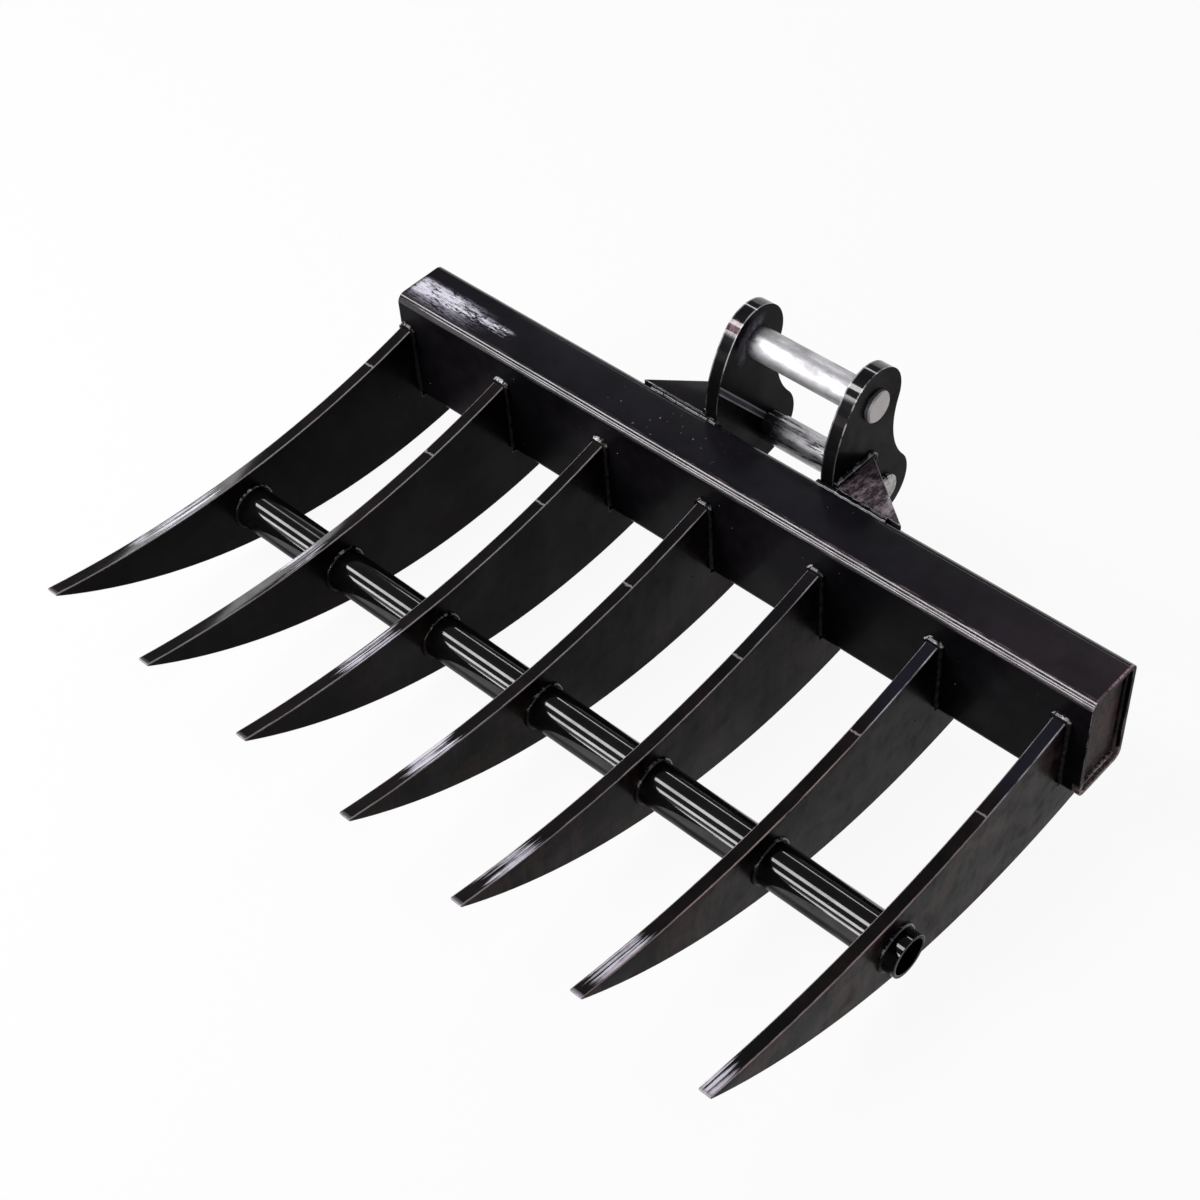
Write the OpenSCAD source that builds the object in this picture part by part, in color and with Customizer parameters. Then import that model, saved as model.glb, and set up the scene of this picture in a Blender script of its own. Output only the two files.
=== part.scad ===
// Rake attachment for a mini excavator: a box-section beam with seven curved tines,
// a cross tube through the tines, and a two-pin hitch on the back.
// X runs along the beam, the tine tips point towards -Y, and the rake stands on its soles.

/* [Beam] */
// Length of the box-section beam
beam_l = 1020; // [960:10:1080]
// Height of the box section
beam_h = 156; // [146:1:164]
// Depth of the box section, front to back
beam_d = 80; // [74:1:84]
// Wall of the box section
beam_wall = 6; // [5:0.5:8]
// Outside radius of the long edges
beam_edge_r = 12; // [10:0.5:15]
// Thickness of the plates that close the ends
cap_t = 6; // [4:0.5:8]
// How far the end plates sit inside the ends
cap_inset = 8; // [7:0.5:12]

/* [Tines] */
// Plate thickness of a tine
tine_t = 16; // [12:1:20]
// Reach of the tips in front of the beam
tine_reach = 566; // [550:1:572]
// Gap from the left end of the beam to the first tine
margin_left = 5; // [2:1:20]
// Gap from the last tine to the right end of the beam
margin_right = 26; // [10:1:40]
// Radius of the hollow upper edge
top_r = 1265; // [1240:5:1300]
// Depth of the upper edge at its lowest, below the top of the beam
top_drop = 81.6; // [78:0.2:84]
// How far in front of the beam the upper edge is lowest
top_low_y = 311; // [300:1:320]
// Radius of the curved sole
sole_r = 858; // [850:1:875]
// Depth of the sole at its lowest, below the top of the beam
sole_drop = 216; // [212:1:220]
// How far in front of the beam the sole is lowest
sole_low_y = 71; // [66:1:78]
// How far the heel of a tine runs back under the beam
heel_l = 60; // [45:1:68]
// How much shorter the heel is along its sole
heel_slant = 22; // [10:1:30]

/* [Cross tube] */
// Outside diameter of the cross tube
tube_d = 52; // [48:1:58]
// Wall of the cross tube
tube_wall = 4; // [3:0.5:6]
// Distance of the cross tube in front of the beam
tube_y = 285; // [275:1:295]
// Depth of the cross tube's axis below the top of the beam
tube_drop = 133; // [128:1:137]
// How far the cross tube stands out of the outer tines, on average
tube_stub = 16; // [10:1:20]
// How much further it stands out at the right than on average
tube_shift = 2; // [0:0.5:4]

/* [Hitch] */
// Diameter of both hitch pins
pin_d = 40; // [35:1:45]
// Clear width between the ears
ear_gap = 152; // [130:1:180]
// Plate thickness of an ear
ear_t = 18; // [14:1:22]
// How far right of the beam's middle the hitch sits
hitch_shift = 17; // [0:1:25]
// Distance of the upper pin behind the beam's front face
upper_y = 152; // [148:1:158]
// Height of the upper pin above the top of the beam
upper_rise = 71; // [66:1:78]
// Distance of the lower pin behind the beam's front face
lower_y = 175; // [170:1:182]
// Depth of the lower pin below the top of the beam
lower_drop = 76; // [72:1:80]
// Radius of the ear round the upper pin
upper_lobe_r = 47; // [44:0.5:50]
// Radius of the ear round the lower pin
lower_lobe_r = 46; // [43:0.5:49]
// Radius of the ear's front edge
ear_front_r = 153; // [146:1:160]
// Radius of the waist between the two lobes
waist_r = 103; // [95:1:115]
// Width of a gusset along the beam
gusset_w = 95; // [80:1:110]
// Length of a gusset along the ear
gusset_l = 71; // [60:1:76]
// Plate thickness of a gusset
gusset_t = 12; // [11:0.5:14]
// Depth of a gusset's top below the top of the beam
gusset_drop = 1; // [0.5:0.5:3]

/* [Pin keepers] */
// How far a pin stands out of the right ear
pin_stub = 6; // [3:0.5:12]
// Width of the relief at each end of a pin's bearing stretch
relief_w = 2; // [1:0.5:3]
// Thickness of a keeper flag
flag_t = 8; // [6:0.5:12]
// Width of a keeper flag
flag_w = 56; // [52:1:60]
// Distance from a pin to its keeper bolt
keeper_reach = 50; // [48:1:52]
// Diameter of a keeper bolt
bolt_d = 10; // [8:1:12]
// How far a keeper bolt reaches into the ear
keeper_bite = 13; // [10:0.5:15]

/* [Welds] */
// Leg of the fillets at the tine roots and on the hitch
root_leg = 7; // [5:0.5:9]
// Leg of the ring welds round the cross tube
ring_leg = 5.5; // [4:0.5:8]
// Leg of the fillets on the end plates
cap_leg = 5; // [3:0.5:6.5]
// Leg of the ring welds between pins and flags
flag_leg = 5; // [3:0.5:6]

/* [Hidden] */
$fn = 180;

paint = "#232326";
bare_steel = "#c9c9c6";
zinc = "#a9adb0";

// Number of tines, and the forward lean at which the rake balances on its soles
tine_count = 7;
lean = 1.94;

// Clearances and overruns
pin_play = 0.08;
bolt_play = 0.05;
bolt_end_play = 1;
tube_play = 0.3;
flag_play = 0.3;
weld_play = 0.2;
cut = 2;

// Beam
corner_play = 1;
beam_in_r = beam_edge_r - beam_wall;
beam_in_d = beam_d - 2 * beam_wall;
beam_in_h = beam_h - 2 * beam_wall;
beam_turn_at = [beam_d - beam_edge_r, -beam_edge_r];

// Tines stand between the two end margins
tine_pitch = (beam_l - margin_left - margin_right - tine_t) / (tine_count - 1);
first_tine_x = -beam_l / 2 + margin_left + tine_t / 2;
last_tine_x = first_tine_x + (tine_count - 1) * tine_pitch;
top_c_z = top_r - top_drop;
sole_c_z = sole_r - sole_drop;
root_z = top_c_z - sqrt(top_r * top_r - top_low_y * top_low_y);
root_weld_z = top_c_z - sqrt(top_r * top_r - pow(top_low_y - root_leg, 2));
tip_z = top_c_z - sqrt(top_r * top_r - pow(tine_reach - top_low_y, 2));
tube_r = tube_d / 2;
tube_left_x = first_tine_x - tine_t / 2 - tube_stub + tube_shift;
tube_right_x = last_tine_x + tine_t / 2 + tube_stub + tube_shift;

// Hitch, seen from its right side as [distance behind the beam's front face, height]
pin_r = pin_d / 2;
upper_at = [upper_y, upper_rise];
lower_at = [lower_y, -lower_drop];
ear_in_x = ear_gap / 2;
ear_out_x = ear_in_x + ear_t;
front_c_y = beam_d + ear_front_r;
front_c_z = upper_rise - sqrt(pow(ear_front_r - upper_lobe_r, 2) - pow(front_c_y - upper_y, 2));
front_at = [front_c_y, front_c_z];
pin_span = norm(lower_at - upper_at);
upper_arm = upper_lobe_r + waist_r;
lower_arm = lower_lobe_r + waist_r;
waist_along = (upper_arm * upper_arm - lower_arm * lower_arm + pin_span * pin_span) / (2 * pin_span);
waist_out = sqrt(upper_arm * upper_arm - waist_along * waist_along);
down = unit(lower_at - upper_at);
waist_at = upper_at + waist_along * down + waist_out * [-down[1], down[0]];
ear_foot = [beam_d, beam_edge_r - beam_h];

// The body of an ear stops a hair before the points where its arcs touch the lobes
seam_turn = 1.2;
seam_out = 2;
front_seam = around(upper_at, upper_lobe_r + seam_out, heading(upper_at - front_at) + seam_turn);
upper_seam = around(upper_at, upper_lobe_r + seam_out, heading(waist_at - upper_at) - seam_turn);
lower_seam = around(lower_at, lower_lobe_r + seam_out, heading(waist_at - lower_at) + seam_turn);
foot_turn = heading(ear_foot - lower_at) + acos(lower_lobe_r / norm(ear_foot - lower_at));
foot_seam = around(lower_at, lower_lobe_r / cos(seam_turn), foot_turn - seam_turn);

// Keepers: the upper flag hangs down, the lower one points towards the beam
upper_flag_turn = -90;
lower_flag_turn = 174;
upper_keeper = around(upper_at, keeper_reach, upper_flag_turn);
lower_keeper = around(lower_at, keeper_reach, lower_flag_turn);
keeper_hole = keeper_bite + bolt_end_play;
flag_chamfer_share = 1 / 6;
flag_chamfer = flag_w * flag_chamfer_share;
flag_tail = flag_w / 2;
flag_lip_share = 1.2;
washer_t_share = 0.2;
washer_t = bolt_d * washer_t_share;
washer_r = bolt_d;
bolt_head_r_share = 0.98;
bolt_head_r = bolt_d * bolt_head_r_share;
bolt_head_t_share = 0.64;
bolt_head_t = bolt_d * bolt_head_t_share;
pin_chamfer_share = 1 / 3;
pin_chamfer = pin_stub * pin_chamfer_share;
relief_depth_share = 0.15;
relief_depth = relief_w * relief_depth_share;

// Welds of the hitch, as shares of the gusset's width and the beam's edge radius
seam_run_share = 0.7;
seam_reach_share = 0.75;
toe_fall_share = 0.8;

// Whole part: the origin lies under the middle of its box, on the ground
part_min_x = min(-beam_l / 2, tube_left_x);
part_max_x = max(beam_l / 2, tube_right_x);
part_min_y = -tine_reach * cos(lean) - tip_z * sin(lean);
part_max_y = lower_y * cos(lean) + lower_drop * sin(lean) + lower_lobe_r;
part_min_z = sole_c_z * cos(lean) - sole_low_y * sin(lean) - sole_r;

function unit(v) = v / norm(v);
function heading(v) = atan2(v[1], v[0]);
function around(p, r, turn) = p + r * [cos(turn), sin(turn)];
function tine_x(i) = first_tine_x + (i - 1) * tine_pitch;

// Sets the rake on its soles with the origin on the ground below its middle
module stand() {
    translate([-(part_min_x + part_max_x) / 2, -(part_min_y + part_max_y) / 2, -part_min_z])
        rotate([lean, 0, 0])
            children();
}

// Turns an outline drawn as [back, up] into a plate that is thick along X, centred
module plate_along_x(t) {
    rotate([90, 0, 90])
        translate([0, 0, -t / 2])
            linear_extrude(t)
                children();
}

// A round bar along X that starts at the origin
module bar_along_x(l, r) {
    rotate([0, 90, 0])
        cylinder(h = l, r = r);
}

// A triangular fillet that runs along +Z, with its legs along +X and -Y
module fillet(l, leg) {
    linear_extrude(l)
        polygon([[0, 0], [0, -leg], [leg, 0]]);
}

// A triangular ring round the X axis, with its flat side at the origin and its taper along +X
module ring_fillet(r, leg) {
    rotate([0, 90, 0])
        rotate_extrude()
            polygon([[r, 0], [r + leg, 0], [r, leg]]);
}

module rounded_rect(d, h, r) {
    square([d - 2 * r, h], center = true);
    square([d, h - 2 * r], center = true);
    for (y = [-1, 1], z = [-1, 1])
        translate([y * (d / 2 - r), z * (h / 2 - r)])
            circle(r);
}

module beam_tube() {
    color(paint)
        stand()
            translate([0, beam_d / 2, -beam_h / 2])
                difference() {
                    plate_along_x(beam_l)
                        rounded_rect(beam_d, beam_h, beam_edge_r);
                    plate_along_x(beam_l + cut)
                        rounded_rect(beam_in_d, beam_in_h, beam_in_r);
                }
}

module end_cap(side) {
    color(paint)
        stand()
            translate([side * (beam_l / 2 - cap_inset - cap_t / 2), beam_d / 2, -beam_h / 2])
                plate_along_x(cap_t)
                    rounded_rect(beam_in_d, beam_in_h, beam_in_r + corner_play);
}

module tine_outline() {
    difference() {
        intersection() {
            polygon([[-tine_reach, 0], [0, 0], [0, -beam_h], [heel_l, -beam_h],
                     [heel_l - heel_slant, -sole_drop - cut], [-tine_reach, -sole_drop - cut]]);
            translate([-sole_low_y, sole_c_z])
                circle(sole_r);
        }
        translate([-top_low_y, top_c_z])
            circle(top_r);
        translate([-tube_y, -tube_drop])
            circle(tube_r + tube_play);
    }
}

module tine(i) {
    color(paint)
        stand()
            translate([tine_x(i), 0, 0])
                plate_along_x(tine_t)
                    tine_outline();
}

module cross_tube() {
    l = tube_right_x - tube_left_x;
    color(paint)
        stand()
            translate([tube_left_x, -tube_y, -tube_drop])
                difference() {
                    bar_along_x(l, tube_r);
                    translate([-cut, 0, 0])
                        bar_along_x(l + 2 * cut, tube_r - tube_wall);
                }
}

module disc(at, r) {
    translate(at)
        circle(r);
}

// The plate of an ear between its two lobes
module ear_body() {
    difference() {
        intersection() {
            polygon([[beam_d, front_seam[1]], front_seam, upper_at, upper_seam,
                     lower_seam, lower_at, foot_seam, ear_foot]);
            union() {
                disc(front_at, ear_front_r);
                translate([beam_d, front_c_z - beam_h])
                    square([ear_front_r, beam_h]);
            }
        }
        disc(waist_at, waist_r);
    }
}

// side is -1 for the left ear, which takes the keeper bolts in blind holes, and 1 for the right ear
module ear(side) {
    color(paint)
        stand()
            translate([hitch_shift + side * (ear_in_x + ear_t / 2), 0, 0])
                difference() {
                    union() {
                        plate_along_x(ear_t)
                            ear_body();
                        plate_along_x(ear_t)
                            disc(upper_at, upper_lobe_r);
                        plate_along_x(ear_t)
                            disc(lower_at, lower_lobe_r);
                    }
                    for (p = [upper_at, lower_at])
                        plate_along_x(ear_t + cut)
                            disc(p, pin_r + pin_play);
                    if (side < 0)
                        for (p = [upper_keeper, lower_keeper])
                            translate([(keeper_hole - cut - ear_t) / 2, 0, 0])
                                plate_along_x(keeper_hole + cut)
                                    disc(p, bolt_d / 2 + bolt_play);
                }
}

module gusset(side) {
    color(paint)
        stand()
            translate([hitch_shift, beam_d, -gusset_drop - gusset_t])
                linear_extrude(gusset_t)
                    polygon([[side * ear_out_x, 0], [side * (ear_out_x + gusset_w), 0],
                             [side * ear_out_x, gusset_l]]);
}

// Places a piece of the hitch at one pin, with X from the middle of the hitch
module at_pin(p) {
    stand()
        translate([hitch_shift, p[0], p[1]])
            children();
}

// A pin with a shallow grinding relief at each end of its bearing stretch
module hitch_pin(p) {
    left = -ear_out_x - flag_t - flag_leg;
    shank = ear_out_x + pin_stub - pin_chamfer;
    color(bare_steel)
        at_pin(p)
            difference() {
                union() {
                    translate([left, 0, 0])
                        bar_along_x(shank - left, pin_r);
                    translate([shank, 0, 0])
                        rotate([0, 90, 0])
                            cylinder(h = pin_chamfer, r1 = pin_r, r2 = pin_r - pin_chamfer);
                }
                for (side = [-1, 1])
                    translate([side * ear_in_x - relief_w / 2, 0, 0])
                        difference() {
                            bar_along_x(relief_w, pin_r + cut);
                            translate([-cut, 0, 0])
                                bar_along_x(relief_w + 2 * cut, pin_r - relief_depth);
                        }
            }
}

module pin_flag(p, turn) {
    far = keeper_reach + washer_r * flag_lip_share;
    half = flag_w / 2;
    color(paint)
        at_pin(p)
            translate([-ear_out_x - flag_t / 2, 0, 0])
                rotate([turn, 0, 0])
                    plate_along_x(flag_t)
                        difference() {
                            polygon([[-flag_tail, flag_chamfer - half], [flag_chamfer - flag_tail, -half],
                                     [far - flag_chamfer, -half], [far, flag_chamfer - half],
                                     [far, half - flag_chamfer], [far - flag_chamfer, half],
                                     [flag_chamfer - flag_tail, half], [-flag_tail, half - flag_chamfer]]);
                            circle(pin_r + flag_play);
                            translate([keeper_reach, 0])
                                circle(bolt_d / 2 + flag_play);
                        }
}

// Places a piece on the axis of a keeper bolt, from the outside of the flag towards the left
module at_keeper(p) {
    at_pin(p)
        translate([-ear_out_x - flag_t, 0, 0])
            children();
}

module keeper_bolt(p) {
    color(zinc)
        at_keeper(p) {
            translate([-washer_t, 0, 0])
                bar_along_x(washer_t + flag_t + keeper_bite, bolt_d / 2);
            translate([-washer_t - bolt_head_t, 0, 0])
                rotate([0, 90, 0])
                    cylinder(h = bolt_head_t, r = bolt_head_r, $fn = 6);
        }
}

module keeper_washer(p) {
    color(zinc)
        at_keeper(p)
            translate([-washer_t, 0, 0])
                difference() {
                    bar_along_x(washer_t, washer_r);
                    translate([-cut, 0, 0])
                        bar_along_x(washer_t + 2 * cut, bolt_d / 2 + flag_play);
                }
}

module flag_weld(p) {
    color(paint)
        at_pin(p)
            translate([-ear_out_x - flag_t, 0, 0])
                mirror([1, 0, 0])
                    ring_fillet(pin_r + weld_play, flag_leg);
}

// Fillets up both sides of a tine, over its upper edge and along both sides of its heel
module root_weld(i) {
    low_z = beam_edge_r - beam_h;
    heel_run = heel_l - heel_slant - beam_edge_r;
    translate([tine_x(i), 0, 0]) {
        for (side = [-1, 1])
            scale_x(side)
                translate([tine_t / 2, 0, 0]) {
                    translate([0, 0, low_z])
                        fillet(root_z - low_z, root_leg);
                    translate([0, beam_edge_r, -beam_h])
                        rotate([-90, 0, 0])
                            scale_y()
                                fillet(heel_run, root_leg);
                }
        plate_along_x(tine_t)
            polygon([[0, root_z], [0, root_z + root_leg], [-root_leg, root_weld_z]]);
    }
}

// Mirrors its children left to right when side is -1
module scale_x(side) {
    mirror([side < 0 ? 1 : 0, 0, 0])
        children();
}

// Mirrors its children front to back
module scale_y() {
    mirror([0, 1, 0])
        children();
}

module tine_root_welds() {
    color(paint)
        stand()
            for (i = [1:tine_count])
                root_weld(i);
}

module cross_tube_welds() {
    color(paint)
        stand()
            for (i = [1:tine_count], side = [-1, 1])
                translate([tine_x(i), -tube_y, -tube_drop])
                    scale_x(side)
                        translate([tine_t / 2, 0, 0])
                            ring_fillet(tube_r + weld_play, ring_leg);
}

// A bead across the rounded top edge of the beam, cut to the edge's own radius
module edge_bead(l) {
    plate_along_x(l)
        difference() {
            children();
            disc(beam_turn_at, beam_edge_r + weld_play);
        }
}

// Fills the groove between the beam's rounded edge and the front of a gusset
module gusset_seam(l) {
    start_y = beam_d - beam_edge_r * seam_reach_share;
    edge_bead(l)
        polygon([[start_y, 0], [beam_d + root_leg / 2, -gusset_drop], [beam_d, -gusset_drop],
                 [beam_d, -gusset_drop - gusset_t], [start_y, -gusset_drop - gusset_t]]);
}

// Fills the groove between the beam's rounded edge and the front of an ear
module ear_toe(l) {
    toe_y = beam_d - weld_play;
    fall_z = -beam_edge_r * toe_fall_share;
    edge_bead(l)
        polygon([[beam_turn_at[0] - root_leg / 2, 0], [toe_y, root_leg], [toe_y, fall_z],
                 [beam_turn_at[0], fall_z], [beam_turn_at[0], 0]]);
}

// Fillets of one ear: both sides of its foot, its toe on the beam and the seams of its gusset
module ear_weld(side) {
    low_z = beam_edge_r - beam_h;
    high_z = -gusset_drop - gusset_t - weld_play;
    seam_run = gusset_w * seam_run_share;
    translate([hitch_shift, 0, 0])
        scale_x(side) {
            translate([ear_out_x, beam_d, low_z])
                scale_y()
                    fillet(high_z - low_z, root_leg);
            translate([ear_in_x, beam_d, low_z])
                mirror([1, 0, 0])
                    scale_y()
                        fillet(-beam_edge_r - low_z, root_leg);
            translate([ear_in_x + ear_t / 2, 0, 0])
                ear_toe(ear_t);
            translate([ear_out_x, beam_d, -gusset_drop])
                rotate([-90, 0, 0])
                    fillet(gusset_l - root_leg, root_leg);
            translate([ear_out_x + root_leg + seam_run / 2, 0, 0])
                gusset_seam(seam_run);
        }
}

module hitch_welds() {
    color(paint)
        stand()
            for (side = [-1, 1])
                ear_weld(side);
}

// Fillets in the recess outside an end plate, one along each wall
module cap_weld() {
    half_d = beam_in_d / 2;
    half_h = beam_in_h / 2;
    corner_run = max(cap_leg, beam_in_r + corner_play);
    run_d = beam_in_d - 2 * corner_run;
    run_h = beam_in_h - 2 * corner_run;
    for (turn = [0, 180])
        rotate([turn, 0, 0]) {
            translate([0, half_d, -run_h / 2])
                fillet(run_h, cap_leg);
            translate([0, -run_d / 2, half_h])
                rotate([-90, 0, 0])
                    scale_y()
                        fillet(run_d, cap_leg);
        }
}

module end_cap_welds() {
    color(paint)
        stand()
            for (side = [-1, 1])
                translate([0, beam_d / 2, -beam_h / 2])
                    scale_x(side)
                        translate([beam_l / 2 - cap_inset, 0, 0])
                            cap_weld();
}

beam_tube();
end_cap(-1);  // end_cap_left
end_cap(1);  // end_cap_right
for (i = [1:tine_count])
    tine(i);
cross_tube();
ear(-1);  // ear_left
ear(1);  // ear_right
gusset(-1);  // gusset_left
gusset(1);  // gusset_right
hitch_pin(upper_at);  // upper_pin
pin_flag(upper_at, upper_flag_turn);  // upper_pin_flag
keeper_bolt(upper_keeper);  // upper_pin_bolt
keeper_washer(upper_keeper);  // upper_pin_washer
hitch_pin(lower_at);  // lower_pin
pin_flag(lower_at, lower_flag_turn);  // lower_pin_flag
keeper_bolt(lower_keeper);  // lower_pin_bolt
keeper_washer(lower_keeper);  // lower_pin_washer
tine_root_welds();
cross_tube_welds();
hitch_welds();
end_cap_welds();
flag_weld(upper_at);  // upper_flag_weld
flag_weld(lower_at);  // lower_flag_weld
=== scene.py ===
import math
import random
from functools import reduce
import bpy
import bmesh
from mathutils import Matrix, Vector


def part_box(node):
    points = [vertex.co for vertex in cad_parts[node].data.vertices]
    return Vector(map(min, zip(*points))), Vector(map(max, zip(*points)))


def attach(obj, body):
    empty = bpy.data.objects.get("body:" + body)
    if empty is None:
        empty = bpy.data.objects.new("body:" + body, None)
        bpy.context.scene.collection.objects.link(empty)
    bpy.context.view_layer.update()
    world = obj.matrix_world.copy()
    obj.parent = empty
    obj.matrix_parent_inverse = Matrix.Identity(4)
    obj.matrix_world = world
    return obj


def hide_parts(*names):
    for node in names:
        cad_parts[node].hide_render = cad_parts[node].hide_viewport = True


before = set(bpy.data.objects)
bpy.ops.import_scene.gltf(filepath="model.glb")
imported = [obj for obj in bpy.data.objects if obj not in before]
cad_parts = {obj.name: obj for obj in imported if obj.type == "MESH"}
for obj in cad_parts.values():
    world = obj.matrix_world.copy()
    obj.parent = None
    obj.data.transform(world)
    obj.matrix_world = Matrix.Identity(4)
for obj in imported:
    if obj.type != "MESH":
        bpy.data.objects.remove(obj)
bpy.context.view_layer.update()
mm = 0.001

# The rake is drawn square to its beam, in millimetres from the middle of the beam's
# top front edge, and then leans a little so that it balances on its tine soles.
stance = {"leanDeg": 1.94, "shiftX": 4.5, "shiftY": 170.16, "shiftZ": 218.77}
beam = {"length": 1020, "height": 156, "depth": 80, "edgeRadius": 12, "wall": 6, "capInset": 8}
tines = {"count": 7, "thickness": 16, "firstX": -497, "lastX": 476, "rootZ": -42.4}
tube = {"y": -285, "z": -133, "radius": 26}
hitch = {"middleX": 17, "innerX": 76, "outerX": 94, "gussetLength": 71, "gussetWidth": 95,
         "gussetTop": -1, "gussetThickness": 12, "flagThickness": 8,
         "upperPin": (152, 71), "lowerPin": (175, -76), "pinRadius": 20}
shift = Vector((stance["shiftX"], stance["shiftY"], stance["shiftZ"])) * mm
beamToPart = Matrix.Translation(shift) @ Matrix.Rotation(math.radians(stance["leanDeg"]), 4, "X")


def spot(x, y, z):
    return beamToPart @ (Vector((x, y, z)) * mm)


def tineX(i):
    return tines["firstX"] + (tines["lastX"] - tines["firstX"]) * (i - 1) / (tines["count"] - 1)


# Node helpers: a value is a number, a colour, a vector or another node's socket
def feed(tree, node, values):
    for key, value in values.items():
        socket = node.inputs[key]
        if isinstance(value, bpy.types.NodeSocket):
            tree.links.new(value, socket)
        else:
            socket.default_value = (*value, 1) if socket.type == "RGBA" else value
    return node


def addNode(tree, kind, values=None, **settings):
    node = tree.nodes.new(kind)
    for key, value in settings.items():
        setattr(node, key, value)
    return feed(tree, node, values or {})


def maths(tree, operation, a, b=0.0):
    return addNode(tree, "ShaderNodeMath", {0: a, 1: b}, operation=operation).outputs[0]


def times(tree, *values):
    return reduce(lambda a, b: maths(tree, "MULTIPLY", a, b), values)


def plus(tree, *values):
    return reduce(lambda a, b: maths(tree, "ADD", a, b), values)


def largest(tree, *values):
    return reduce(lambda a, b: maths(tree, "MAXIMUM", a, b), values)


def less(tree, a, b):
    return maths(tree, "SUBTRACT", a, b)


def weighted(tree, *parts):
    return plus(tree, *[times(tree, value, share) for value, share in parts])


def ramp(tree, value, low, high, toLow=0.0, toHigh=1.0):
    return addNode(tree, "ShaderNodeMapRange", {"Value": value, "From Min": low, "From Max": high,
                                                "To Min": toLow, "To Max": toHigh},
                   interpolation_type="SMOOTHSTEP").outputs["Result"]


def near(tree, value, middle, outer, inner):
    return ramp(tree, maths(tree, "ABSOLUTE", less(tree, value, middle)), outer, inner)


def mixColor(tree, factor, a, b):
    return addNode(tree, "ShaderNodeMix", {0: factor, 6: a, 7: b}, data_type="RGBA").outputs[2]


def mixValue(tree, factor, a, b):
    return addNode(tree, "ShaderNodeMix", {0: factor, 2: a, 3: b}, data_type="FLOAT").outputs[0]


# A tuple as scale stretches the pattern
def noise(tree, vector, scale, detail=2.0, roughness=0.5):
    if isinstance(scale, tuple):
        vector = addNode(tree, "ShaderNodeMapping", {"Vector": vector, "Scale": scale}).outputs[0]
        scale = 1.0
    return addNode(tree, "ShaderNodeTexNoise", {"Vector": vector, "Scale": scale, "Detail": detail,
                                                "Roughness": roughness}).outputs["Fac"]


def axes(tree, vector):
    return addNode(tree, "ShaderNodeSeparateXYZ", {"Vector": vector}).outputs[:]


def facings(tree):
    return axes(tree, addNode(tree, "ShaderNodeNewGeometry").outputs["Normal"])


def pieceValue(tree, name):
    return addNode(tree, "ShaderNodeAttribute", attribute_name=name).outputs["Fac"]


def newGroup(name, ins, outs):
    group = bpy.data.node_groups.new(name, "ShaderNodeTree")
    for sockets, direction in ((ins, "INPUT"), (outs, "OUTPUT")):
        for label, kind in sockets.items():
            group.interface.new_socket(label, in_out=direction, socket_type="NodeSocket" + kind)
    return group, group.nodes.new("NodeGroupInput").outputs, group.nodes.new("NodeGroupOutput")


# Heights of what stands on the paint, in millimetres
skinHeights = {"peel": 0.05, "dents": 0.22, "sag": 1.1, "nib": 0.25}


# Shared effects
def makePaintSkin():
    group, given, end = newGroup("paintSkin", {
        "Place": "Vector", "Deep": "Color", "Tint": "Color", "Gloss Roughness": "Float",
        "Dull Roughness": "Float", "Peel": "Float", "Nibs": "Float"},
        {"Color": "Color", "Roughness": "Float", "Height": "Float"})
    place = given["Place"]
    cloud = ramp(group, noise(group, place, 7.0, 4.0, 0.6), 0.38, 0.72)
    mottle = noise(group, place, 46.0, 3.0, 0.6)
    cells = addNode(group, "ShaderNodeTexVoronoi", {"Vector": place, "Scale": 210.0,
                                                    "Randomness": 1.0}).outputs
    crowd = ramp(group, noise(group, place, 11.0), 0.50, 0.72)
    nibSize = times(group, less(group, cells["Color"], 0.90), 3.0, crowd)
    nib = times(group, ramp(group, less(group, nibSize, cells["Distance"]), -0.02, 0.05),
                given["Nibs"])
    color = mixColor(group, times(group, cloud, ramp(group, mottle, 0.3, 0.7, 0.4, 1.0)),
                     given["Deep"], given["Tint"])
    color = mixColor(group, times(group, nib, 0.7), color, (0.20, 0.18, 0.19))
    rough = mixValue(group, ramp(group, mottle, 0.42, 0.75), given["Gloss Roughness"],
                     given["Dull Roughness"])
    rough = plus(group, rough, times(group, nib, 0.15))
    peel = times(group, noise(group, place, 300.0, 1.0), given["Peel"])
    height = weighted(group, (peel, skinHeights["peel"] * mm),
                      (noise(group, place, 24.0, 1.0), skinHeights["dents"] * mm),
                      (noise(group, place, 6.0, 1.0), skinHeights["sag"] * mm),
                      (nib, skinHeights["nib"] * mm))
    feed(group, end, {"Color": color, "Roughness": rough, "Height": height})
    return group


def makeEdgeWear():
    group, given, end = newGroup("edgeWear", {"Place": "Vector", "Amount": "Float",
                                              "Patch": "Float"}, {"Mask": "Float"})
    patches = noise(group, given["Place"], given["Patch"], 5.0, 0.7)
    limit = less(group, 0.8, times(group, given["Amount"], 0.5))
    bareAndSheen = ramp(group, less(group, patches, limit), -0.03, 0.05)
    feed(group, end, {"Mask": times(group, pieceValue(group, "edge"), bareAndSheen)})
    return group


def makeRubMarks():
    group, given, end = newGroup("rubMarks", {"Place": "Vector", "Stretch": "Vector",
                                              "Amount": "Float"}, {"Mask": "Float"})
    along = addNode(group, "ShaderNodeVectorMath", {0: given["Place"], 1: given["Stretch"]},
                    operation="MULTIPLY").outputs[0]
    total = weighted(group, (noise(group, given["Place"], 9.0, 3.0, 0.6), 0.45),
                     (noise(group, along, 1.0, 6.0, 0.75), 0.62))
    limit = less(group, 0.86, times(group, given["Amount"], 0.36))
    feed(group, end, {"Mask": ramp(group, less(group, total, limit), -0.01, 0.06)})
    return group


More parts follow.
